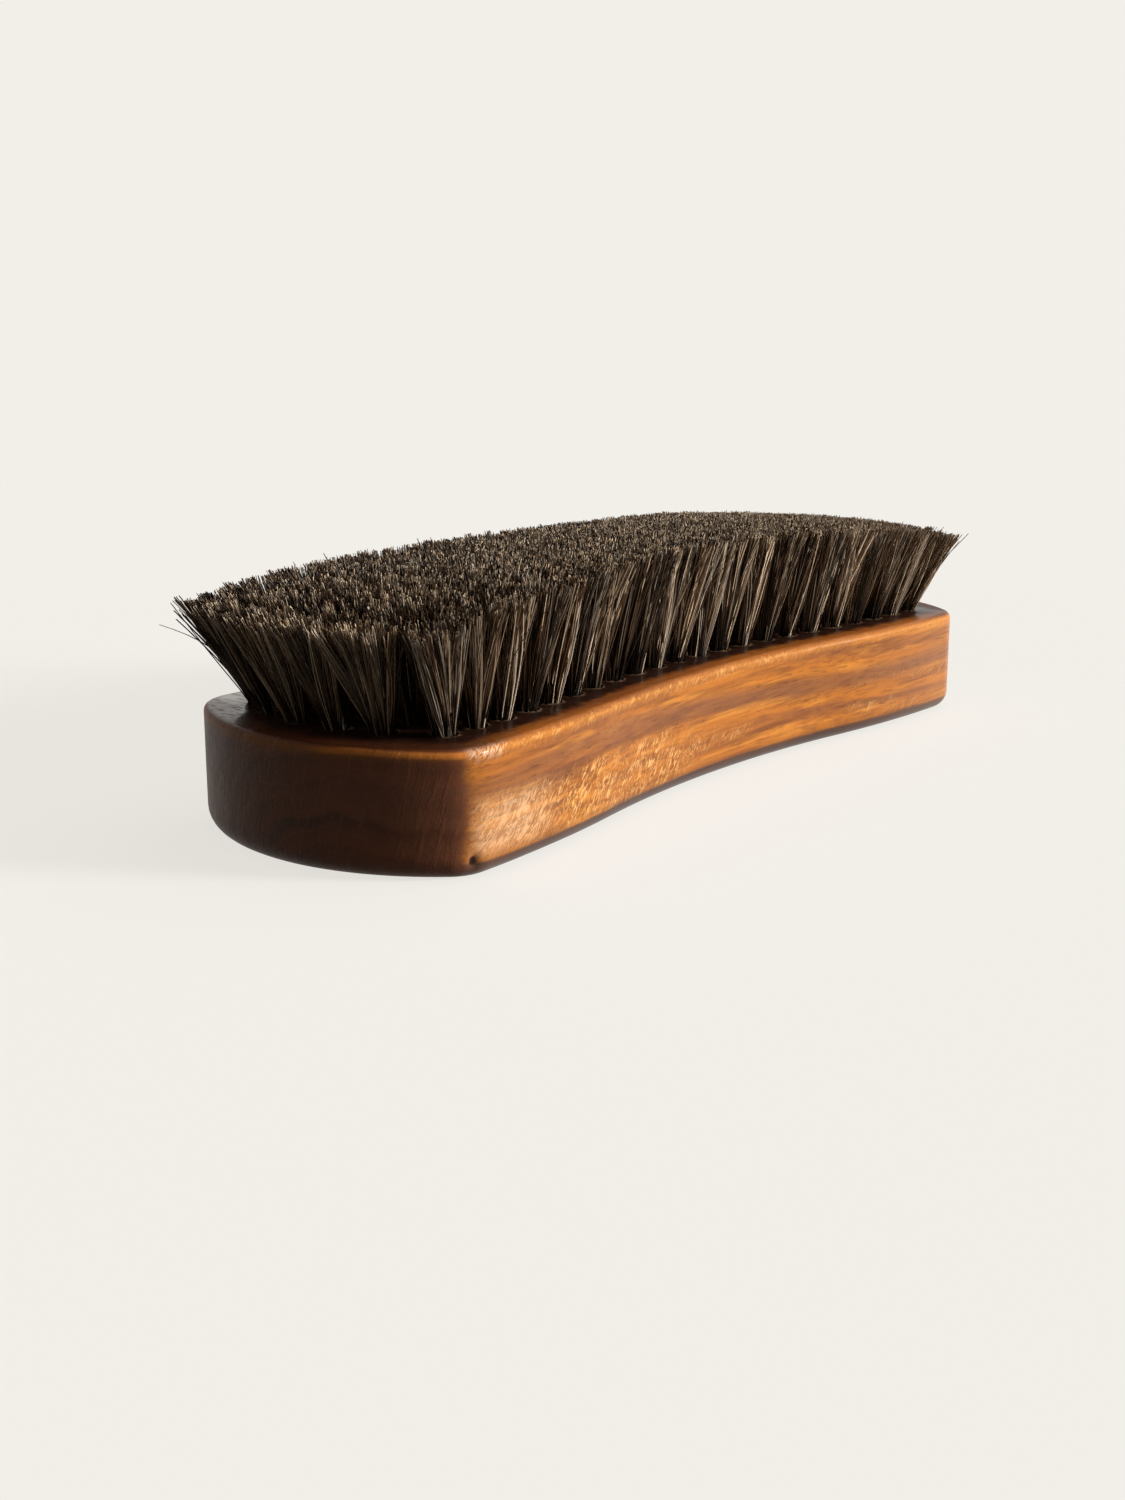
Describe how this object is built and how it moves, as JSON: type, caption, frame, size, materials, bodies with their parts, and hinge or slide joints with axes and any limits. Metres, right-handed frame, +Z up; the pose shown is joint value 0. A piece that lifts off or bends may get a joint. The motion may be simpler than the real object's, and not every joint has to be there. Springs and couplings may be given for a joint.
{
  "type": "shoe shine brush",
  "caption": "Waisted wooden block brush with drilled holes that hold wire-anchored tufts of dark horsehair, for shining shoes.",
  "frame": {"origin": "under the middle of the block, on the plane that its flat back lies on", "axes": "+X along the block's length, +Y across its width, +Z up from the back to the hair"},
  "size_m": [0.1728, 0.055, 0.0398],
  "materials": {
    "varnished_wood": "glossy clear varnish over orange-brown hardwood",
    "horsehair": "mixed dark brown and grey horsehair, trimmed to a low crown",
    "wire": "flat steel wire"
  },
  "bodies": {
    "root": {"block": "varnished_wood", "tuft_row_01": "horsehair", "tuft_row_02": "horsehair", "tuft_row_03": "horsehair", "tuft_row_04": "horsehair", "tuft_row_05": "horsehair", "tuft_row_06": "horsehair", "tuft_row_07": "horsehair", "tuft_row_08": "horsehair", "tuft_row_09": "horsehair", "tuft_row_10": "horsehair", "tuft_row_11": "horsehair", "tuft_row_12": "horsehair", "tuft_row_13": "horsehair", "tuft_row_14": "horsehair", "tuft_row_15": "horsehair", "tuft_row_16": "horsehair", "tuft_row_17": "horsehair", "tuft_row_18": "horsehair", "tuft_row_19": "horsehair", "tuft_row_20": "horsehair", "tuft_row_21": "horsehair", "tuft_row_22": "horsehair", "anchor_row_01": "wire", "anchor_row_02": "wire", "anchor_row_03": "wire", "anchor_row_04": "wire", "anchor_row_05": "wire", "anchor_row_06": "wire", "anchor_row_07": "wire", "anchor_row_08": "wire", "anchor_row_09": "wire", "anchor_row_10": "wire", "anchor_row_11": "wire", "anchor_row_12": "wire", "anchor_row_13": "wire", "anchor_row_14": "wire", "anchor_row_15": "wire", "anchor_row_16": "wire", "anchor_row_17": "wire", "anchor_row_18": "wire", "anchor_row_19": "wire", "anchor_row_20": "wire", "anchor_row_21": "wire", "anchor_row_22": "wire"}
  },
  "joints": []
}
